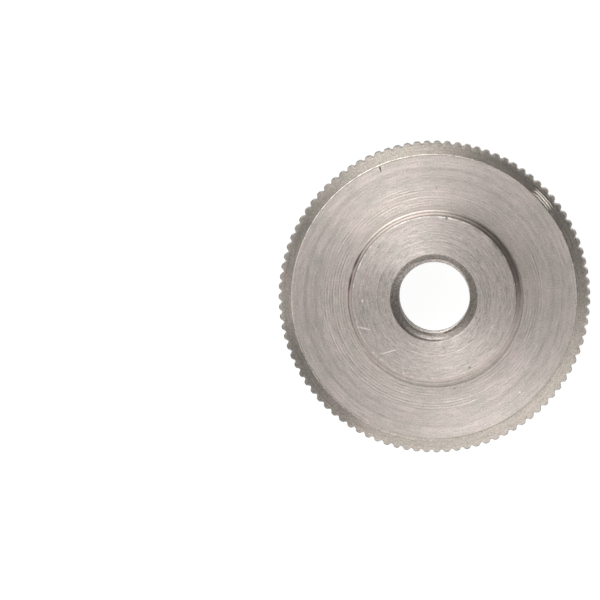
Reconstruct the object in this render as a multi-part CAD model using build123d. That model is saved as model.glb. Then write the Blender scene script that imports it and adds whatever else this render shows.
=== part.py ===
from build123d import *
import math
import os

# Knurled thumb nut, low form, thread M8: a straight-knurled disc with a round boss on one
# side, turned from one piece of stainless bar.
# Frame: +Z up along the thread's axis, the nut lying on its disc with the boss upward, and
# the origin at the middle of the disc's flat underside. Millimetres.

# Disc, with the same chamfer on both edges
disc_diameter = 30.0  # over the knurl's crests
disc_height = 6.0
rim_chamfer_width = 1.3  # across the face
rim_chamfer_height = 1.1  # along the axis

# Straight knurl on the rim, its grooves parallel to the axis
knurl_pitch = 0.99  # from groove to groove, along the crests
knurl_depth = 0.33
groove_angle = 80.0  # between a groove's two flanks, in degrees
groove_root_width = 0.12

# Boss, with a hollow flare where it meets the disc's upper face
boss_diameter = 15.7
boss_height = 2.0  # above the disc's upper face
boss_edge_break = 0.1
flare_width = 0.5  # out from the boss's side, across the face
flare_height = 0.7
flare_hollow = 0.08  # how far the flare's middle lies inside the straight line between its ends

# Thread bore, its wall at the thread's minor diameter
thread_minor_diameter = 6.8
mouth_chamfer = 0.8  # countersink at both ends of the bore, at 45 degrees

# Worked out from the sizes above
crest_radius = disc_diameter / 2
face_radius = crest_radius - rim_chamfer_width
boss_radius = boss_diameter / 2
bore_radius = thread_minor_diameter / 2
mouth_radius = bore_radius + mouth_chamfer
nut_height = disc_height + boss_height
groove_count = round(math.pi * disc_diameter / knurl_pitch)


def turned_blank():
    """The turned body before it is knurled: half of its section, revolved about the axis."""
    boss_side = (boss_radius, disc_height + flare_height)
    boss_foot = (boss_radius + flare_width, disc_height)
    flare = SagittaArc(boss_side, boss_foot, flare_hollow)
    rest_of_outline = Polyline(
        boss_foot,
        (face_radius, disc_height),
        (crest_radius, disc_height - rim_chamfer_height),
        (crest_radius, rim_chamfer_height),
        (face_radius, 0),
        (mouth_radius, 0),
        (bore_radius, mouth_chamfer),
        (bore_radius, nut_height - mouth_chamfer),
        (mouth_radius, nut_height),
        (boss_radius - boss_edge_break, nut_height),
        (boss_radius, nut_height - boss_edge_break),
        boss_side,
    )
    section = make_face([flare] + rest_of_outline.edges())
    return revolve(Plane.XZ * section, Axis.Z)


def knurl_bar():
    """A bar with the knurl's star-shaped section, longer than the nut at both ends.

    Each groove is a V with a narrow flat root. The flanks of neighbouring grooves run on past
    the crests until they meet, so it is the blank's own rim that gives the crests their width.
    """
    overrun = 1.0
    root_radius = crest_radius - knurl_depth
    half_root = groove_root_width / 2
    half_pitch = math.pi / groove_count
    half_angle = math.radians(groove_angle / 2)
    flank_origin = root_radius - half_root / math.tan(half_angle)
    tip_radius = flank_origin * math.sin(half_angle) / math.sin(half_angle - half_pitch)
    tip = (tip_radius * math.cos(half_pitch), tip_radius * math.sin(half_pitch))
    one_groove = [(root_radius, -half_root), (root_radius, half_root), tip]

    star = []
    for groove in range(groove_count):
        turn = 360 * groove / groove_count
        star += [Vector(*point).rotate(Axis.Z, turn) for point in one_groove]
    section = make_face(Polyline(*star, close=True).edges())
    return Pos(0, 0, -overrun) * extrude(section, nut_height + 2 * overrun)


def thumb_nut():
    """The finished nut: the turned blank with the knurl's grooves cut into its rim."""
    nut = turned_blank() & knurl_bar()
    nut.label = "thumb_nut"
    return nut


os.makedirs("parts", exist_ok=True)
export_step(thumb_nut(), "parts/thumb_nut.step")
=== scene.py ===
import math
import random

import bpy
import bmesh
from mathutils import Matrix, Vector


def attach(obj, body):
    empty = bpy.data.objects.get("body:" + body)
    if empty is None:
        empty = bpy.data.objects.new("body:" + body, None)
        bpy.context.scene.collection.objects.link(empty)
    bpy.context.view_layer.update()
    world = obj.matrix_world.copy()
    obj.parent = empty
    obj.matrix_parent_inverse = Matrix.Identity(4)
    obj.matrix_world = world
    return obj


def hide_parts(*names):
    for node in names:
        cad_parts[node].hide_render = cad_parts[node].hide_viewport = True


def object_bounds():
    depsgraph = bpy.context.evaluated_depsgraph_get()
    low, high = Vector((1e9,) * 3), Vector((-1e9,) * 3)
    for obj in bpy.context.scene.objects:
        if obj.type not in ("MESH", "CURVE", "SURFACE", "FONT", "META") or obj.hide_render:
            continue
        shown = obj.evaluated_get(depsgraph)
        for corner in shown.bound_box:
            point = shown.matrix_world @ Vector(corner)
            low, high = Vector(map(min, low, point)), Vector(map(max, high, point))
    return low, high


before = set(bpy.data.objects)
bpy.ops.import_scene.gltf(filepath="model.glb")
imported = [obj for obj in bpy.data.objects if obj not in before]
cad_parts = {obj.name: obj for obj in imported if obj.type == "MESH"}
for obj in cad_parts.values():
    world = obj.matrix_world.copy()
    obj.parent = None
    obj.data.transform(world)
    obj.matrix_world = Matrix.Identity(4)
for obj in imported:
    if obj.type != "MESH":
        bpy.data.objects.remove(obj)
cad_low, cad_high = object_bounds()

# Knurled thumb nut of turned stainless steel. One closed mesh replaces the plain solid: it has
# the thread, the rounded knurl and the marks of turning. Lengths are in millimetres, as in the
# part's source, and become metres where objects are made or placed. Named angles round the axis
# are in degrees, counted from +X towards +Y.
MM = 0.001
rng = random.Random(30)

# ---------------------------------------------------------------- the part's own sizes
nut_height = cad_high.z / MM
crest_radius = -cad_low.x / MM  # a crest of the knurl points along -X

disc_height = 6.0
rim_chamfer_width = 1.3
rim_chamfer_height = 1.1
boss_radius = 7.85
flare_width = 0.5
flare_height = 0.7
flare_hollow = 0.08
bore_radius = 3.4
mouth_chamfer = 0.8

groove_count = 95
knurl_depth = 0.33
groove_half_angle = math.radians(40)
groove_root_width = 0.12

face_radius = crest_radius - rim_chamfer_width
foot_radius = boss_radius + flare_width
mouth_radius = bore_radius + mouth_chamfer
chamfer_slope = rim_chamfer_height / rim_chamfer_width

# ---------------------------------------------------------------- what only the mesh has
thread_pitch = 1.25
thread_major_radius = 4.0
thread_crest_flat = 0.38
thread_flank_angle = math.radians(30)

crest_wear = 0.03  # how far the crests lie inside the sharp knurl
wear_scatter = 0.4  # of that wear
depth_scatter = 0.05  # of the knurl's depth
place_scatter = 0.012  # of the knurl's pitch
deepest_groove = 1.2 * knurl_depth
wall_steps = 9  # along the teeth
wall_ripple = 0.003

# How a groove's flank rounds over to the crest, in shares of the rounding: how far below the
# crest the straight flank ends, and points (below the crest, past the groove's sharp edge).
crest_rounding = 0.08
flank_end = 0.8
crest_curve = ((0.25, 0.1), (0.03, 1.0))

# How the teeth's ends round into the chamfers, in shares of the rounding: points (inside the
# teeth's outline, below the cone). Where they start they are a little frayed.
tooth_end_rounding = 0.11
tooth_end_curve = ((1.0, 0.0), (0.6, 0.04), (0.2, 0.25), (0.0, 1.0))
end_fray = 0.005

face_edge_rounding = 0.045
boss_edge_rounding = 0.05
mouth_edge_rounding = 0.03

edge_burr = 0.008  # raised here and there along the disc's upper edge
burr_level = 0.2  # a burr is where an uneven quantity is above this
bruise_depth = 0.03  # along one stretch of the boss's upper edge
bruise_pull = 0.4  # how far a bruise draws the edge inward, of its depth
bruised_from, bruised_to, bruise_blend = 12, 75, 25

# Feed marks of the turning tool: how deep they are, and how far apart the rings that carry them
# lie. On the disc's face they are deeper towards the boss.
feed_depth = 0.0012
face_feed_depth, coarse_feed_depth = 0.0006, 0.0016
coarse_from, coarse_width = 11.6, 1.6
feed_spacing, lower_feed_spacing = 0.1, 0.16
feed_scatter = 0.2  # of the spacing

# How far single rings and the first feed marks lie from the edges next to them
near_disc_edge, far_disc_edge, plain_disc_ring, disc_margin = 0.06, 0.14, 0.3, 0.38
foot_margin, boss_margin = 0.16, 0.14
mouth_margin, lower_mouth_margin = 0.06, 0.1
flare_margin, top_margin = 0.03, 0.1  # on the boss's side

foot_groove_depth = 0.015  # a shallow groove round the flare's foot
foot_groove_middle, foot_groove_edge = 0.04, 0.11  # outside the foot

face_columns = 2 * groove_count
sharp_angle = math.radians(32)  # from here an edge is shaded sharp
weld_distance, sliver_width = 1e-8, 1e-9  # in metres


# ---------------------------------------------------------------- rings and faces
class Shell:
    """Points and faces of a body made of rings about the Z axis. A ring is a list of indices."""

    def __init__(self):
        self.points = []
        self.faces = []
        self.zones = []

    def ring(self, radii, angles, heights):
        first = len(self.points)
        for radius, angle, height in zip(radii, angles, heights):
            self.points.append((radius * math.cos(angle), radius * math.sin(angle), height))
        return list(range(first, len(self.points)))

    def face(self, indices, zone):
        self.faces.append(indices)
        self.zones.append(zone)

    def join(self, ring_a, ring_b, zone):
        """Faces between two rings. One may have a whole number of times the other's columns."""
        if len(ring_a) < len(ring_b):
            ring_a, ring_b = ring_b, ring_a
        count = len(ring_b)
        step = len(ring_a) // count
        for i in range(count):
            fine = [ring_a[(i * step + k) % len(ring_a)] for k in range(step + 1)]
            self.face(fine + [ring_b[(i + 1) % count], ring_b[i]], zone)


TURNED, CHAMFER, KNURL, BORE = range(4)  # zones, each with its own finish
even_angles = [2 * math.pi * i / face_columns for i in range(face_columns)]


def plain_ring(shell, radius, height):
    return shell.ring([radius] * face_columns, even_angles, [height] * face_columns)


def window(angle, start, end, blend):
    """1 between two angles in degrees, falling to 0 over the blend on both sides."""
    middle, half = (start + end) / 2, (end - start) / 2
    off = abs((math.degrees(angle) - middle + 180) % 360 - 180)
    return min(1.0, max(0.0, (half + blend - off) / blend))


class Wobble:
    """A smooth uneven quantity round the axis, between about -1 and 1."""

    def __init__(self, slowest, fastest):
        turn = 2 * math.pi
        self.waves = [(n, rng.uniform(0, turn), rng.uniform(0.5, 1)) for n in range(slowest, fastest)]
        self.scale = 1 / math.sqrt(sum(size ** 2 for _, _, size in self.waves))

    def at(self, angle):
        return self.scale * sum(size * math.sin(n * angle + start) for n, start, size in self.waves)


def rounded_edge(slope, size, steps):
    """The arc that rounds a flat's edge over a slope, from the flat: (outward, down) points
    counted from the sharp corner."""
    radius = size / math.tan(slope / 2)
    turns = [slope * k / steps for k in range(steps + 1)]
    return [(radius * math.sin(a) - size, radius * (1 - math.cos(a))) for a in turns]


# ---------------------------------------------------------------- knurled rim
def groove_side(depth, wear):
    """One side of a groove from the middle of its root to its crest, as (out, across) points."""
    root = crest_radius - depth
    half_root = groove_root_width / 2
    tangent = math.tan(groove_half_angle)
    round_radius = half_root * math.cos(groove_half_angle) / (1 - math.sin(groove_half_angle))
    turn = math.pi / 2 - groove_half_angle
    points = []
    for share in (0, 0.5, 1):
        rise = round_radius * (1 - math.cos(share * turn))
        points.append((root + rise, round_radius * math.sin(share * turn)))
    points.append((root + 0.5 * depth, half_root + 0.5 * depth * tangent))
    edge = half_root + depth * tangent
    flank_drop = wear + flank_end * crest_rounding
    points.append((crest_radius - flank_drop, edge - flank_drop * tangent))
    for below, past in crest_curve:
        points.append((crest_radius - wear - below * crest_rounding, edge + past * crest_rounding))
    return points


def knurl_columns():
    """Radius and angle of each column round the rim, starting in the middle of a groove."""
    turn = 2 * math.pi
    depths = [knurl_depth * (1 + rng.gauss(0, depth_scatter)) for _ in range(groove_count)]
    places = [turn * (i + rng.gauss(0, place_scatter)) / groove_count for i in range(groove_count)]
    wears = [crest_wear * rng.uniform(1 - wear_scatter, 1 + wear_scatter) for _ in range(groove_count)]
    radii, angles = [], []
    for i in range(groove_count):
        after = (i + 1) % groove_count
        place_after = places[after] + (turn if after == 0 else 0)
        for out, across in groove_side(depths[i], wears[i]):
            radii.append(math.hypot(out, across))
            angles.append(places[i] + math.atan2(across, out))
        radii.append(crest_radius - wears[i])
        angles.append((places[i] + place_after) / 2)
        for out, across in reversed(groove_side(depths[after], wears[i])[1:]):
            radii.append(math.hypot(out, across))
            angles.append(place_after - math.atan2(across, out))
    return radii, angles


def cone_drop(radius):
    """How far the chamfer lies under the disc's face at this radius."""
    return (radius - face_radius) * chamfer_slope


# The rows below are (radii, drops) of one ring's points, where a drop is counted from the face.
def level_row(radius, count, drop=0.0):
    return [radius] * count, [drop] * count


def face_edge_rows(angles):
    """Rows outwards over the disc's upper edge, with its burr."""
    uneven = Wobble(20, 160)
    burr = [edge_burr * max(0, uneven.at(a) - burr_level) for a in angles]
    count = len(angles)
    rows = [level_row(face_radius - inside, count) for inside in (far_disc_edge, near_disc_edge)]
    for outward, down in rounded_edge(math.atan(chamfer_slope), face_edge_rounding, 4):
        lift = math.sin(math.pi * (outward + face_edge_rounding) / (2 * face_edge_rounding))
        rows.append(([face_radius + outward] * count, [down - b * max(0, lift) for b in burr]))
    outside = face_radius + near_disc_edge
    rows.append(level_row(outside, count, cone_drop(outside)))
    return rows


def chamfer_rows(count):
    """Rows down the chamfer, as far as the teeth's ends."""
    width = crest_radius - deepest_groove - tooth_end_rounding - face_radius
    radii = [face_radius + share * width for share in (0.3, 0.6, 0.85)]
    return [level_row(radius, count, cone_drop(radius)) for radius in radii]


def tooth_end_rows(radii):
    """Rows over the teeth's rounded ends, which follow the knurl's outline."""
    fray = [abs(rng.gauss(0, end_fray)) for _ in radii]
    rows = []
    for inside, below in tooth_end_curve:
        row = [r - inside * tooth_end_rounding for r in radii]
        rows.append((row, [cone_drop(r) + below * tooth_end_rounding for r in row]))
    first_row, first_drops = rows[0]
    rows[0] = (first_row, [drop - f for drop, f in zip(first_drops, fray)])
    return rows


def wall_rows(radii, angles):
    """Rows along the teeth, between their upper and their lower ends."""
    ripple = Wobble(5, 40)
    ends = [cone_drop(r) + tooth_end_rounding for r in radii]
    rows = []
    for k in range(1, wall_steps):
        share = k / wall_steps
        row = [r - wall_ripple * abs(ripple.at(a + 2 * share)) for r, a in zip(radii, angles)]
        rows.append((row, [end + (disc_height - 2 * end) * share for end in ends]))
    return rows


def rim_rings(shell):
    """The rim from the upper face's edge over the knurl to the lower face's edge.

    Gives back its first and last rings, for the faces to join on to.
    """
    radii, angles = knurl_columns()
    slope = face_edge_rows(angles) + chamfer_rows(len(radii))
    tooth_end = tooth_end_rows(radii)
    wall = wall_rows(radii, angles)
    rings = []
    for row_radii, drops in slope + tooth_end + wall:
        rings.append(shell.ring(row_radii, angles, [disc_height - drop for drop in drops]))
    for row_radii, heights in reversed(tooth_end):
        rings.append(shell.ring(row_radii, angles, heights))
    for row_radii, _ in reversed(slope):  # the lower edge has no burr
        height = max(0, cone_drop(row_radii[0]))
        rings.append(shell.ring(row_radii, angles, [height] * len(angles)))

    first_wall = len(slope) + 1  # from here the teeth's ends curve down
    last_wall = len(rings) - 1 - first_wall
    for i, (ring, next_ring) in enumerate(zip(rings, rings[1:])):
        shell.join(ring, next_ring, KNURL if first_wall <= i < last_wall else CHAMFER)
    return rings[0], rings[-1]


# ---------------------------------------------------------------- turned faces
mouth_arc = rounded_edge(math.pi / 4, mouth_edge_rounding, 3)  # over either mouth of the bore


def feed_radii(outer, inner, spacing):
    """Radii from outer to inner at about this spacing, a little uneven, both ends left out."""
    count = int((outer - inner) / spacing)
    steps = [k + rng.uniform(-feed_scatter, feed_scatter) for k in range(1, count)]
    return [outer + (inner - outer) * step / count for step in steps]


def feed_mark(depth):
    """How deep one feed mark of the turning tool lies under its surface."""
    return depth * abs(rng.gauss(0, 1))


def upper_face_rings(shell):
    rings = [plain_ring(shell, face_radius - plain_disc_ring, disc_height)]
    for radius in feed_radii(face_radius - disc_margin, foot_radius + foot_margin, feed_spacing):
        coarse = min(1, max(0, (coarse_from - radius) / coarse_width))
        depth = face_feed_depth + coarse_feed_depth * coarse
        rings.append(plain_ring(shell, radius, disc_height - feed_mark(depth)))
    rings.append(plain_ring(shell, foot_radius + foot_groove_edge, disc_height))
    rings.append(plain_ring(shell, foot_radius + foot_groove_middle, disc_height - foot_groove_depth))
    return rings


def flare_rings(shell):
    """The hollow flare from its foot on the disc up to the boss's side."""
    lean = math.atan2(flare_width, flare_height)
    steps = 7
    rings = []
    for k in range(steps + 1):
        share = k / steps
        hollow = flare_hollow * 4 * share * (1 - share)
        radius = foot_radius - flare_width * share - hollow * math.cos(lean)
        height = disc_height + flare_height * share - hollow * math.sin(lean)
        rings.append(plain_ring(shell, radius, height))
    return rings


def boss_rings(shell):
    """The boss's side above the flare, its bruised edge and its top, as far as the bore's mouth."""
    rings = []
    side_low = disc_height + flare_height + flare_margin
    side_high = nut_height - top_margin
    steps = 12
    for k in range(1, steps):
        height = side_low + (side_high - side_low) * k / steps
        rings.append(plain_ring(shell, boss_radius - feed_mark(feed_depth), height))

    bruised = [window(a, bruised_from, bruised_to, bruise_blend) for a in even_angles]
    for outward, down in reversed(rounded_edge(math.pi / 2, boss_edge_rounding, 5)):
        bruises = [bruise_depth * abs(rng.gauss(0, 1)) * share for share in bruised]
        row_radii = [boss_radius + outward - bruise_pull * b for b in bruises]
        rings.append(shell.ring(row_radii, even_angles, [nut_height - down - b for b in bruises]))
    for radius in feed_radii(boss_radius - boss_margin, mouth_radius + mouth_margin, feed_spacing):
        rings.append(plain_ring(shell, radius, nut_height - feed_mark(feed_depth)))
    for outward, down in mouth_arc:
        rings.append(plain_ring(shell, mouth_radius - outward, nut_height - down))
    return rings


def lower_face_rings(shell):
    """The lower face, from the bore's mouth to the disc's edge."""
    rings = []
    for outward, down in reversed(mouth_arc):
        rings.append(plain_ring(shell, mouth_radius - outward, down))
    radii = feed_radii(face_radius - disc_margin, mouth_radius + lower_mouth_margin, lower_feed_spacing)
    for radius in reversed(radii):
        rings.append(plain_ring(shell, radius, feed_mark(feed_depth)))
    rings.append(plain_ring(shell, face_radius - plain_disc_ring, 0))
    return rings


# ---------------------------------------------------------------- threaded bore
def thread_profile():
    """One turn of the thread from the start of its crest: (along the axis, radius) points."""
    depth = thread_major_radius - bore_radius
    flank = depth * math.tan(thread_flank_angle)
    flank_shares = (0.12, 0.5, 0.88)
    half_crest = thread_crest_flat / 2
    root_start, root_end = half_crest + flank, thread_pitch - half_crest - flank
    points = [(-half_crest, bore_radius), (0, bore_radius), (half_crest, bore_radius)]
    points += [(half_crest + s * flank, bore_radius + s * depth) for s in flank_shares]
    points += [(root_start, thread_major_radius), (root_end, thread_major_radius)]
    points += [(root_end + (1 - s) * flank, bore_radius + s * depth) for s in reversed(flank_shares)]
    return points


def thread_bore(shell):
    """The bore's wall with its right-hand thread, cut away at both ends by the countersinks."""
    profile = thread_profile()
    low = mouth_arc[-1][1]
    high = nut_height - low
    rows = []
    for turn in range(-1, int(nut_height / thread_pitch) + 2):
        for offset, radius in profile:
            row_radii, heights = [], []
            for angle in even_angles:
                height = offset + thread_pitch * (turn + angle / (2 * math.pi))
                height = min(max(height, low), high)
                countersink = mouth_radius - min(height, nut_height - height)
                row_radii.append(max(radius, countersink))
                heights.append(height)
            rows.append(shell.ring(row_radii, even_angles, heights))
    last = face_columns - 1
    turn_rows = len(profile)
    for i, (row, next_row) in enumerate(zip(rows, rows[1:])):
        for k in range(last):
            shell.face([row[k], row[k + 1], next_row[k + 1], next_row[k]], BORE)
        if i + turn_rows + 1 < len(rows):  # round the axis, a row goes on in the one a turn later
            later, next_later = rows[i + turn_rows], rows[i + turn_rows + 1]
            shell.face([row[last], later[0], next_later[0], next_row[last]], BORE)


# ---------------------------------------------------------------- the nut's mesh
def build_nut():
    shell = Shell()
    upper_edge, lower_edge = rim_rings(shell)
    top = upper_face_rings(shell) + flare_rings(shell) + boss_rings(shell)
    bottom = lower_face_rings(shell)
    shell.join(upper_edge, top[0], TURNED)
    shell.join(lower_edge, bottom[-1], TURNED)
    for rings in (top, bottom):
        for one, other in zip(rings, rings[1:]):
            shell.join(one, other, TURNED)
    thread_bore(shell)

    mesh = bpy.data.meshes.new("thumb_nut_turned")
    mesh.from_pydata([tuple(MM * c for c in p) for p in shell.points], [], shell.faces)
    mesh.polygons.foreach_set("material_index", shell.zones)
    work = bmesh.new()
    work.from_mesh(mesh)
    bmesh.ops.remove_doubles(work, verts=work.verts, dist=weld_distance)
    bmesh.ops.dissolve_degenerate(work, dist=sliver_width, edges=work.edges)
    bmesh.ops.recalc_face_normals(work, faces=work.faces)
    work.to_mesh(mesh)
    work.free()
    mesh.shade_smooth()
    mesh.set_sharp_from_angle(angle=sharp_angle)
    nut = bpy.data.objects.new("thumb_nut_turned", mesh)
    bpy.context.scene.collection.objects.link(nut)
    return nut


# ---------------------------------------------------------------- node helpers
class Nodes:
    """Short names for building a node tree."""

    def __init__(self, owner):
        owner.use_nodes = True
        self.tree = owner.node_tree
        self.tree.nodes.clear()

    def add(self, kind, **settings):
        node = self.tree.nodes.new(kind)
        for name, value in settings.items():
            setattr(node, name, value)
        return node

    def put(self, socket, value):
        """Link a value that is an output, and set any other."""
        if isinstance(value, bpy.types.NodeSocket):
            self.tree.links.new(value, socket)
        else:
            socket.default_value = value

    def math(self, operation, *values):
        node = self.add("ShaderNodeMath", operation=operation)
        for socket, value in zip(node.inputs, values):
            self.put(socket, value)
        return node.outputs[0]

    def vector(self, operation, *values):
        node = self.add("ShaderNodeVectorMath", operation=operation)
        for socket, value in zip(node.inputs, values):
            self.put(socket, value)
        return node.outputs["Value" if operation in ("LENGTH", "DOT_PRODUCT") else "Vector"]

    def scaled(self, vector, factor):
        node = self.add("ShaderNodeVectorMath", operation="SCALE")
        self.put(node.inputs[0], vector)
        self.put(node.inputs["Scale"], factor)
        return node.outputs[0]

    def combined(self, x, y, z):
        node = self.add("ShaderNodeCombineXYZ")
        for socket, value in zip(node.inputs, (x, y, z)):
            self.put(socket, value)
        return node.outputs[0]

    def gap(self, value, other):
        """How far apart two numbers are."""
        return self.math("ABSOLUTE", self.math("SUBTRACT", value, other))

    def plus(self, start, *weighted):
        """The start plus each value times its weight."""
        for value, weight in weighted:
            start = self.math("ADD", start, self.math("MULTIPLY", value, weight))
        return start

    def noise(self, vector, scale, roughness, detail=2.0):
        """Noise about zero, mostly between -0.3 and 0.3."""
        node = self.add("ShaderNodeTexNoise")
        self.put(node.inputs["Vector"], vector)
        node.inputs["Scale"].default_value = scale
        node.inputs["Detail"].default_value = detail
        node.inputs["Roughness"].default_value = roughness
        return self.math("SUBTRACT", node.outputs["Fac"], 0.5)

    def fade(self, value, full, none):
        """1 where the value is at or beyond full, smoothly down to 0 at none."""
        node = self.add("ShaderNodeMapRange", interpolation_type="SMOOTHSTEP")
        self.put(node.inputs["Value"], value)
        low, high = min(full, none), max(full, none)
        for name, number in (("From Min", low), ("From Max", high),
                             ("To Min", float(full < none)), ("To Max", float(full > none))):
            node.inputs[name].default_value = number
        return node.outputs["Result"]

    def finish(self, kind, shader):
        self.put(self.add(kind).inputs["Surface"], shader)


# ---------------------------------------------------------------- marks on the steel
# Short marks on the upper side, three of them painted shade and painted highlight at the boss's foot:
# middle x, y, half length, half width, turn, and how much lighter (above zero) or darker they are.
mark_depth = 0.5
mark_fade = (0.4, 1.1)  # where a mark's tone is full and where it ends, in shares of its size
marks = [
    (-6.65, -2.92, 0.75, 0.08, -13, 0.9),
    (-4.34, -5.16, 1.00, 0.08, 16, 0.9),
    (-6.85, -0.28, 0.13, 0.18, 0, 0.8),
    (3.44, -6.65, 0.17, 0.12, 10, -0.6),
    (8.20, -9.11, 0.15, 0.12, 0, 0.6),
    (8.54, -10.90, 0.13, 0.12, 40, -0.5),
    (1.95, -8.76, 0.12, 0.09, 0, -0.4),
    (0.22, 10.49, 0.06, 0.16, 0, -0.45),
    (-5.20, 12.35, 0.10, 0.52, 17, -0.7),
    (-5.00, 12.75, 0.07, 0.35, 17, 0.5),
    (-5.43, 12.45, 0.06, 0.40, 17, 0.3),
    (1.22, 7.68, 0.14, 0.22, -20, -0.9),
    (0.70, 7.72, 0.40, 0.12, 4, 0.5),
    (1.90, 7.50, 0.65, 0.10, -14, 0.9),
    (0.95, -4.75, 0.04, 0.55, 26, -0.35),
    (5.70, -2.90, 0.75, 0.04, -29, 0.25),
    (6.20, 0.90, 0.55, 0.04, 32, 0.22),
    # Painted shade: these two darken a crescent at the boss's foot, towards -X
    (-7.36, 3.50, 1.15, 0.26, 64, -0.52),
    (-8.02, 1.42, 1.15, 0.22, 80, -0.52),
    # Painted highlight on the flare's top, towards +Y
    (1.12, 7.96, 1.50, 0.28, -8, 0.14),
    (-13.70, 0.30, 0.12, 0.26, 0, 0.9),
    (-13.48, -2.35, 0.10, 0.24, 10, 0.8),
    (-1.60, -13.55, 0.35, 0.09, 0, -0.4),
    (-1.20, -13.75, 0.40, 0.10, -10, 0.5),
]

# Marks of the tool that run all the way round, and rings of painted shade and painted highlight at the
# flare: centre x, y, radius, half width, tone.
line_fade = (0.3, 1.2)  # as mark_fade, in shares of a line's half width
turned_lines = [
    # Painted shade in the crease at the flare's foot
    (0.05, -0.13, 8.47, 0.07, -0.32),
    (0.05, -0.13, 8.62, 0.06, 0.10),
    # Painted highlight on the flare next to the boss
    (0.0, 0.0, 7.98, 0.14, 0.13),
    (0.0, 0.0, 5.40, 0.06, -0.12),
    (0.0, 0.0, 5.52, 0.05, 0.10),
    (0.0, 0.0, 4.75, 0.06, -0.08),
    (0.0, 0.0, 11.40, 0.20, -0.08),
    (0.0, 0.0, 12.40, 0.22, -0.08),
]

# Ridges of the flare at the boss's foot as painted light and shade, lighter and darker rings, clearest
# on the lit side, the same side as the edges' wear and painted highlight
flare_lines = [
    (0.04, -0.10, 7.98, 0.07, -0.30),
    (0.04, -0.10, 8.13, 0.07, 0.40),
    (0.04, -0.10, 8.28, 0.07, -0.25),
    (0.05, -0.13, 8.45, 0.09, 0.58),
]
# The side that the brightest softbox lights: the edges get more painted highlight there, and the flare's
# ridges more painted light and shade
lit_side = (-0.64, 0.77, 0)

# Painted light and shade in lines on one side only: the side, how far towards it they are full and where
# they end, as cosines, and the lines.
painted_light_lines = [
    (lit_side, 0.7, -0.4, flare_lines),
    # Painted highlight at the boss's foot, towards -Y
    ((-0.20, -0.98, 0), 0.4, -0.3, [(0.0, 0.0, 7.97, 0.16, 0.30)]),
    # Painted shade: a dark crescent at the boss's foot, towards +X and +Y
    ((0.85, 0.53, 0), 0.96, 0.80, [(0.0, 0.0, 7.86, 0.11, -0.20), (0.0, 0.0, 8.05, 0.34, -0.28)]),
]

# The upper edges of the disc and the boss, with wear and a painted highlight: the line's radius, the
# distances from it where the wear is full and where it ends, and the same for heights. The painted
# highlight is stronger on the lit side.
worn_highlit_edges = [
    (face_radius - 0.01, -0.01, 0.065, disc_height - 0.3, disc_height - 0.5),
    (boss_radius - 0.05, 0.03, 0.11, nut_height - 0.06, nut_height - 0.12),
]
# How far the edges' painted highlight leans towards the lit side
highlight_towards_lit_side = 0.13
wear_and_highlight_patches = (0.32, -0.02)  # noise where the wear and painted highlight are full and where they end
wear_specks = (0.20, 0.06)  # the same for the specks along the boss's edge

# The band where the feed marks are strong: its middle radius, and its half width where they are
# full and where they end. They are clearest towards one side, and in patches.
feed_band = (9.75, 0.8, 1.3)
feed_pitch = 0.265
feed_unrest = 0.15  # how far the marks stray, in millimetres times noise
feed_side = (-0.85, -0.45, 0)
feed_towards_side = 0.06
feed_patches = (0.20, -0.10)

# A short glint on the upper chamfer, a patch of painted highlight crossed by the tool's lines, with a
# longer line of painted shade along its inner side
glint_angle, glint_reach, glint_line_reach = 42, 6, 10.8
glint_radius, glint_width = 14.04, 0.36
glint_pitch, glint_unrest, glint_height = 0.24, 0.4, 0.013
glint_line_fade = (0.02, 0.08)

# The chamfer has painted shade on one side, and the bore and its countersinks are darker towards
# another: the side, how far towards it that is full and where it ends, as cosines.
chamfer_painted_shade_side = ((-0.80, -0.60, 0), 0.98, 0.86)
darker_bore_side = (lit_side, 0.9, 0.3)

# The faces look slightly crowned as far out as this.
crown_radius, crown_slope = 11.0, 0.035


def line_tone(n, place, lines):
    """The tone of these lines together."""
    full, none = line_fade
    tone = 0.0
    for x, y, radius, width, strength in lines:
        flat = n.vector("MULTIPLY", n.vector("SUBTRACT", place, (x, y, 0)), (1, 1, 0))
        off = n.gap(n.vector("LENGTH", flat), radius)
        tone = n.math("MULTIPLY_ADD", n.fade(off, full * width, none * width), strength, tone)
    return tone


def mark_tone(n, spot):
    """The tone of all marks and lines together, with their painted shade and painted highlights."""
    tone = line_tone(n, spot.place, turned_lines)
    for side, full, none, lines in painted_light_lines:
        share = spot.facing(side, full, none)
        tone = n.math("MULTIPLY_ADD", line_tone(n, spot.place, lines), share, tone)
    for x, y, length, width, turn, strength in marks:
        mapping = n.add("ShaderNodeMapping", vector_type="TEXTURE")
        n.put(mapping.inputs["Vector"], spot.place)
        surface = nut_height if math.hypot(x, y) < boss_radius else disc_height
        mapping.inputs["Location"].default_value = (x, y, surface)
        mapping.inputs["Rotation"].default_value = (0, 0, math.radians(turn))
        mapping.inputs["Scale"].default_value = (length, width, mark_depth)
        away = n.vector("LENGTH", mapping.outputs[0])
        tone = n.math("MULTIPLY_ADD", n.fade(away, *mark_fade), strength, tone)
    return tone


def edge_wear_and_highlight(n, spot):
    """From 0 to 1 along the upper edges of the disc and the boss: wear and a painted highlight, broken
    up, more on the lit side.
    """
    edges = []
    for radius, near, far, high, low in worn_highlit_edges:
        across = n.fade(n.gap(spot.radius, radius), near, far)
        edges.append(n.math("MULTIPLY", across, n.fade(spot.z, high, low)))
    on_disc, on_boss = edges
    uneven = n.noise(spot.place, 1.5, 0.7, detail=3.0)
    # The painted highlight leans towards the lit side
    broken = n.math("MULTIPLY_ADD", spot.towards(lit_side), highlight_towards_lit_side, uneven)
    lines = n.math("MULTIPLY", n.math("MAXIMUM", on_disc, on_boss), n.fade(broken, *wear_and_highlight_patches))
    specks = n.math("MULTIPLY", on_boss, n.fade(n.noise(spot.place, 3.2, 0.6), *wear_specks))
    return n.math("MAXIMUM", lines, specks)


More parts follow.
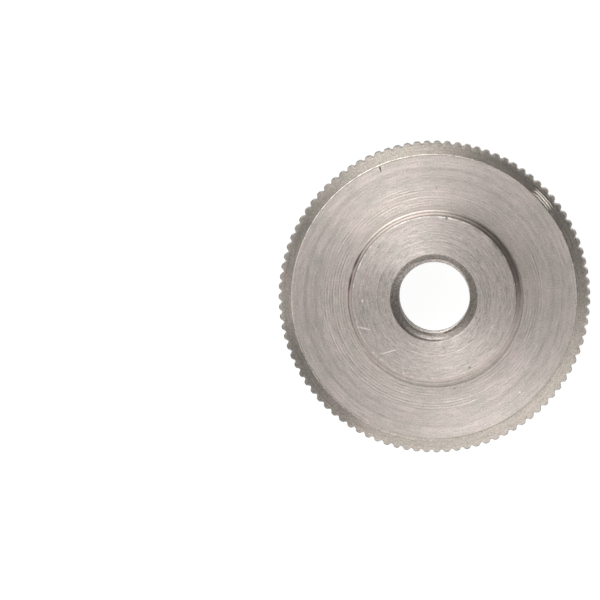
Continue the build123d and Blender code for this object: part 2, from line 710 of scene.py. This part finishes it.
def feed_marks(n, spot, unrest):
    """The evenly spaced marks of the tool's feed, from -1 to 1, where they are strong."""
    middle, full, none = feed_band
    stray = n.math("MULTIPLY_ADD", unrest, feed_unrest, spot.radius)
    waves = n.math("SINE", n.math("MULTIPLY", stray, 2 * math.pi / feed_pitch))
    patch = n.math("MULTIPLY_ADD", spot.towards(feed_side), feed_towards_side, spot.noise(2.2, 1.8, 0.7))
    in_band = n.fade(n.gap(spot.radius, middle), full, none)
    strength = n.math("MULTIPLY", n.fade(patch, *feed_patches), in_band)
    return n.math("MULTIPLY", waves, strength)


def chamfer_glint(n, spot):
    """The lines across a patch of painted highlight, from -1 to 1, how bright it is, and the line of
    painted shade along its inner side."""
    angle = math.radians(glint_angle)
    way = (math.cos(angle), math.sin(angle), 0)
    reach, line_reach = math.cos(math.radians(glint_reach)), math.cos(math.radians(glint_line_reach))
    upper = n.fade(spot.z, disc_height / 2 + 0.5, disc_height / 2)  # not on the lower chamfer
    near = n.math("MULTIPLY", upper, spot.facing(way, 1.0, reach))
    beside = n.math("MULTIPLY", upper, spot.facing(way, 1.0, line_reach))
    across = n.fade(n.gap(spot.radius, glint_radius), 0.5 * glint_width, glint_width)
    patch = n.math("MULTIPLY", near, across)
    stray = n.math("MULTIPLY_ADD", n.noise(spot.place, 0.9, 0.6), glint_unrest, spot.radius)
    wave = n.math("SINE", n.math("MULTIPLY", stray, 2 * math.pi / glint_pitch))
    dark = n.fade(n.gap(spot.radius, glint_radius - glint_width), *glint_line_fade)
    return n.math("MULTIPLY", patch, wave), patch, n.math("MULTIPLY", beside, dark)


# ---------------------------------------------------------------- steel
# The colour of the edges' wear and painted highlight
wear_and_highlight_color = (0.93, 0.92, 0.90)
worn_roughness = -0.15  # what wear adds to the roughness
tint = 0.07  # how far the cloud shifts red and green
darkest_tone, brightest_color = 0.15, 0.96
finer_upright = 2.3  # how much finer the streaks are along Z than outward
boss_blend = 0.2  # how far outside the boss its rougher turning ends

# Painted shade on the knurl's flanks, in its roots and on the teeth's ends, as depths inside its sharp
# crests where each is full and where it ends
flank_shade = (0.3 * knurl_depth, crest_wear)
root_shade = (0.9 * knurl_depth, 0.55 * knurl_depth)
tooth_end_shade = (0.06, 0.17)
past_tooth_end, before_tooth_end = 0.02, 0.10  # along the axis, where that last one is full and ends


class TurnedPlace:
    """The place on the nut in millimetres, and coordinates that follow the turning."""

    def __init__(self, n):
        self.n = n
        self.place = n.scaled(n.add("ShaderNodeTexCoord").outputs["Object"], 1 / MM)
        split = n.add("ShaderNodeSeparateXYZ")
        n.put(split.inputs[0], self.place)
        self.z = split.outputs["Z"]
        flat = n.vector("MULTIPLY", self.place, (1, 1, 0))
        self.radius = n.vector("LENGTH", flat)
        self.outward = n.vector("NORMALIZE", flat)
        self.along = n.math("MULTIPLY_ADD", self.z, finer_upright, self.radius)

    def noise(self, round_scale, along_scale, roughness):
        """Noise drawn out round the axis: a large round_scale gives short streaks."""
        n = self.n
        stretched = n.scaled(self.outward, round_scale)
        lift = n.combined(0, 0, n.math("MULTIPLY", self.along, along_scale))
        return n.noise(n.vector("ADD", stretched, lift), 1.0, roughness)

    def towards(self, side):
        """The cosine of the angle round the axis between the place and this side."""
        return self.n.vector("DOT_PRODUCT", self.outward, side)

    def facing(self, side, full, none):
        """1 towards this side, smoothly down to 0, where full and none are cosines."""
        return self.n.fade(self.towards(side), full, none)


class Texture:
    """Noises of the turned steel, and the tone that they make together."""

    def __init__(self, n, spot, streaks, grains):
        self.long_lines = spot.noise(1.6, 6.0, 0.65)
        self.short_lines = spot.noise(11.0, 6.5, 0.6)
        bands = spot.noise(0.5, 1.1, 0.5)
        self.cloud = n.noise(spot.place, 0.45, 0.5)
        self.grain = n.noise(spot.place, 6.5, 0.7)
        self.tone = n.plus(0.0, (self.long_lines, 0.28 * streaks), (self.short_lines, 0.42 * streaks),
                           (bands, 0.16 * streaks), (self.cloud, 0.22 * streaks), (self.grain, grains))


# The finish of each zone, as its tone with any painted light and shade, its height in millimetres, and
# its wear with the edges' painted highlight
def turned_finish(n, spot, texture):
    """The faces and the boss. The boss is turned more roughly."""
    on_boss = n.fade(spot.radius, boss_radius, boss_radius + boss_blend)
    rough_turning = n.math("MULTIPLY", spot.noise(5.0, 13.0, 0.8), on_boss)
    feed = feed_marks(n, spot, texture.short_lines)
    tone = n.plus(1.0, (texture.tone, 1.0), (feed, 0.24), (rough_turning, 1.2), (on_boss, -0.04),
                  (mark_tone(n, spot), 1.0))
    crown = n.math("MINIMUM", spot.radius, crown_radius)
    height = n.plus(0.0, (texture.long_lines, 0.014), (texture.short_lines, 0.012),
                    (texture.grain, 0.004), (feed, 0.007), (rough_turning, 0.018), (crown, -crown_slope))
    return tone, height, edge_wear_and_highlight(n, spot)


def inside_crests(n, spot, full, none):
    """1 where the place lies full inside the knurl's sharp crests, smoothly down to 0 at none."""
    return n.fade(spot.radius, crest_radius - full, crest_radius - none)


def chamfer_finish(n, spot, texture):
    """Both chamfers, with painted shade on the teeth's ends and on one side, and the glint's painted
    highlight.
    """
    wave, patch, beside = chamfer_glint(n, spot)
    tooth_end = inside_crests(n, spot, *tooth_end_shade)
    # Painted highlight on the glint's patch, and painted shade beside it, on the teeth's ends and on one
    # side
    tone = n.plus(1.0, (texture.tone, 1.0), (patch, 0.8), (beside, -0.5), (tooth_end, -0.5),
                  (spot.facing(*chamfer_painted_shade_side), -0.34))
    height = n.plus(0.0, (texture.long_lines, 0.010), (texture.short_lines, 0.008),
                    (texture.grain, 0.010), (wave, glint_height))
    return tone, height, edge_wear_and_highlight(n, spot)


def knurl_finish(n, spot, texture):
    """The knurl's grooves are darker towards their roots, with painted shade on the flanks and roots and
    on the teeth's ends.
    """
    flank = inside_crests(n, spot, *flank_shade)
    root = inside_crests(n, spot, *root_shade)
    off_middle = n.gap(spot.z, disc_height / 2)
    half_tooth = disc_height / 2 - rim_chamfer_height
    near_end = n.fade(off_middle, half_tooth + past_tooth_end, half_tooth - before_tooth_end)
    end = n.math("MULTIPLY", inside_crests(n, spot, *tooth_end_shade), near_end)
    tone = n.plus(0.93, (texture.tone, 1.0), (flank, -0.34), (root, -0.22), (end, -0.4))
    return tone, n.math("MULTIPLY", texture.grain, 0.010), 0.0


def bore_finish(n, spot, texture):
    """The thread and the countersinks."""
    # Darker towards one side
    tone = n.plus(0.97, (texture.tone, 1.0), (spot.facing(*darker_bore_side), -0.25))
    return tone, n.plus(0.0, (texture.long_lines, 0.012), (texture.grain, 0.012)), 0.0


# Each zone's steel, in the zones' order: its material's name, its finish, its colour, how strong
# its streaks and its grain are, its roughness, and how far its reflections are drawn out.
steels = [
    ("steel_turned", turned_finish, (0.635, 0.578, 0.540), 1.25, 0.80, 0.36, 0.9),
    ("steel_chamfer", chamfer_finish, (0.600, 0.545, 0.490), 1.00, 1.30, 0.29, 0.2),
    ("steel_knurl", knurl_finish, (0.600, 0.560, 0.520), 0.45, 1.30, 0.36, 0.2),
    ("steel_bore", bore_finish, (0.620, 0.570, 0.530), 0.90, 2.00, 0.36, 0.4),
]


def steel_shader(n, color, tone, cloud, height, roughness, anisotropy, wear_and_highlight):
    """Bare steel of this colour times the tone, with a height in millimetres. It is a little rosy where
    the cloud is above zero, greenish where it is below, and bright where it has wear and painted
    highlight."""
    tone = n.math("MINIMUM", n.math("MAXIMUM", tone, darkest_tone), brightest_color / max(color))
    rosy, greenish = (n.math("MULTIPLY_ADD", cloud, share, 1.0) for share in (tint, -tint))
    hue = n.combined(rosy, greenish, 1.0)
    dull = n.scaled(n.vector("MULTIPLY", n.scaled(color, tone), hue), n.math("SUBTRACT", 1.0, wear_and_highlight))
    color = n.vector("ADD", dull, n.scaled(wear_and_highlight_color, wear_and_highlight))
    roughness = n.math("MULTIPLY_ADD", wear_and_highlight, worn_roughness, roughness)
    bump = n.add("ShaderNodeBump")
    bump.inputs["Distance"].default_value = MM
    n.put(bump.inputs["Height"], height)
    tangent = n.add("ShaderNodeTangent", direction_type="RADIAL", axis="Z")
    shader = n.add("ShaderNodeBsdfPrincipled")
    shader.inputs["Metallic"].default_value = 1.0
    n.put(shader.inputs["Roughness"], roughness)
    shader.inputs["Anisotropic"].default_value = anisotropy
    shader.inputs["Anisotropic Rotation"].default_value = 0.25  # a quarter turn
    n.put(shader.inputs["Base Color"], color)
    n.put(shader.inputs["Normal"], bump.outputs["Normal"])
    n.put(shader.inputs["Tangent"], tangent.outputs["Tangent"])
    n.finish("ShaderNodeOutputMaterial", shader.outputs[0])


def finish_nut(nut):
    """One steel for each zone."""
    for name, finish, color, streaks, grains, roughness, anisotropy in steels:
        material = bpy.data.materials.new(name)
        n = Nodes(material)
        spot = TurnedPlace(n)
        texture = Texture(n, spot, streaks, grains)
        tone, height, wear_and_highlight = finish(n, spot, texture)
        steel_shader(n, color, tone, texture.cloud, height, roughness, anisotropy, wear_and_highlight)
        nut.data.materials.append(material)


# ---------------------------------------------------------------- floor
floor_half = 3000.0
floor_gap = 0.01  # under the nut
floor_grey = 0.8
lifted_grey, lifted_glow = 0.2, 0.93


def diffuse(n, grey):
    shader = n.add("ShaderNodeBsdfDiffuse")
    shader.inputs["Color"].default_value = (grey, grey, grey, 1)
    return shader.outputs[0]


def build_floor():
    """A pale floor just under the nut. The camera and shiny surfaces see it lifted to white, and
    the nut's shadow stays on it."""
    half = floor_half * MM
    mesh = bpy.data.meshes.new("floor")
    corners = [(-half, -half, 0), (half, -half, 0), (half, half, 0), (-half, half, 0)]
    mesh.from_pydata(corners, [], [(0, 1, 2, 3)])
    floor = bpy.data.objects.new("floor", mesh)
    floor.location.z = -floor_gap * MM
    bpy.context.scene.collection.objects.link(floor)

    material = bpy.data.materials.new("floor_pale")
    n = Nodes(material)
    glow = n.add("ShaderNodeEmission")
    glow.inputs["Strength"].default_value = lifted_glow
    lifted = n.add("ShaderNodeAddShader")
    n.put(lifted.inputs[0], diffuse(n, lifted_grey))
    n.put(lifted.inputs[1], glow.outputs[0])
    rays = n.add("ShaderNodeLightPath")
    mirrored = n.math("MAXIMUM", rays.outputs["Is Glossy Ray"], rays.outputs["Is Transmission Ray"])
    mix = n.add("ShaderNodeMixShader")
    n.put(mix.inputs[0], n.math("MAXIMUM", rays.outputs["Is Camera Ray"], mirrored))
    n.put(mix.inputs[1], diffuse(n, floor_grey))
    n.put(mix.inputs[2], lifted.outputs[0])
    n.finish("ShaderNodeOutputMaterial", mix.outputs[0])
    mesh.materials.append(material)


# ---------------------------------------------------------------- light
# The studio: a dim room, an overhead diffuser and softboxes, each one a soft lobe of the world:
# name, azimuth, angle from overhead, how tightly it is gathered, level at its middle.
room_level = 0.045
softboxes = [
    ("overhead", 0, 0, 11.0, 0.225),
    ("upper_left", 117, 43, 11.0, 2.95),
    ("upper_left_low", 103, 68, 14.0, 0.80),
    ("left", 215, 42, 9.0, 0.95),
    ("left_low", 180, 80, 35.0, 0.30),
    ("lower", -98, 42, 7.0, 0.42),
    ("lower_right_low", -62, 68, 4.0, 0.93),
    ("right_low", -28, 76, 14.0, 0.30),
    ("lower_low", -108, 76, 14.0, 0.25),
]
light_color = (1.0, 0.987, 0.975)


def toward(azimuth, angle_from_overhead):
    around, down = math.radians(azimuth), math.radians(angle_from_overhead)
    return (math.sin(down) * math.cos(around), math.sin(down) * math.sin(around), math.cos(down))


def build_world():
    world = bpy.data.worlds.new("studio")
    bpy.context.scene.world = world
    n = Nodes(world)
    way = n.add("ShaderNodeTexCoord").outputs["Generated"]
    level = room_level
    for _, azimuth, angle, gathering, gain in softboxes:
        facing = n.vector("DOT_PRODUCT", way, toward(azimuth, angle))
        falloff = n.math("MULTIPLY_ADD", facing, gathering, -gathering)
        level = n.math("MULTIPLY_ADD", n.math("EXPONENT", falloff), gain, level)
    studio = n.add("ShaderNodeBackground")
    studio.inputs["Color"].default_value = (*light_color, 1)
    n.put(studio.inputs["Strength"], level)
    n.finish("ShaderNodeOutputWorld", studio.outputs[0])


# ---------------------------------------------------------------- camera
# Over the nut and a little off its axis, with a long lens. The nut stands right of the middle.
camera_distance = 800.0
camera_lean = Vector((0.0113, 0.0384, 1.0))
frame_width = 57.76  # what the picture's width spans at the disc's middle height
nut_off_centre = (12.95, 0.39)  # from the picture's centre, to the right and up


def build_camera():
    disc_middle = Vector((0, 0, disc_height / 2))
    back = camera_lean.normalized()
    eye = disc_middle + back * camera_distance
    right = Vector((0, 1, 0)).cross(back).normalized()
    aim = disc_middle - right * nut_off_centre[0] - back.cross(right) * nut_off_centre[1]
    back = (eye - aim).normalized()
    right = Vector((0, 1, 0)).cross(back).normalized()
    turn = Matrix((right, back.cross(right), back)).transposed()
    data = bpy.data.cameras.new("camera")
    data.sensor_width = 36.0
    data.lens = data.sensor_width * (eye - aim).length / frame_width
    camera = bpy.data.objects.new("camera", data)
    camera.matrix_world = Matrix.Translation(eye * MM) @ turn.to_4x4()
    bpy.context.scene.collection.objects.link(camera)
    bpy.context.scene.camera = camera


# ---------------------------------------------------------------- the scene
nut = build_nut()
finish_nut(nut)
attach(nut, "root")
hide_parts("thumb_nut")
build_floor()
build_world()
build_camera()
bpy.context.scene.view_settings.view_transform = "Standard"
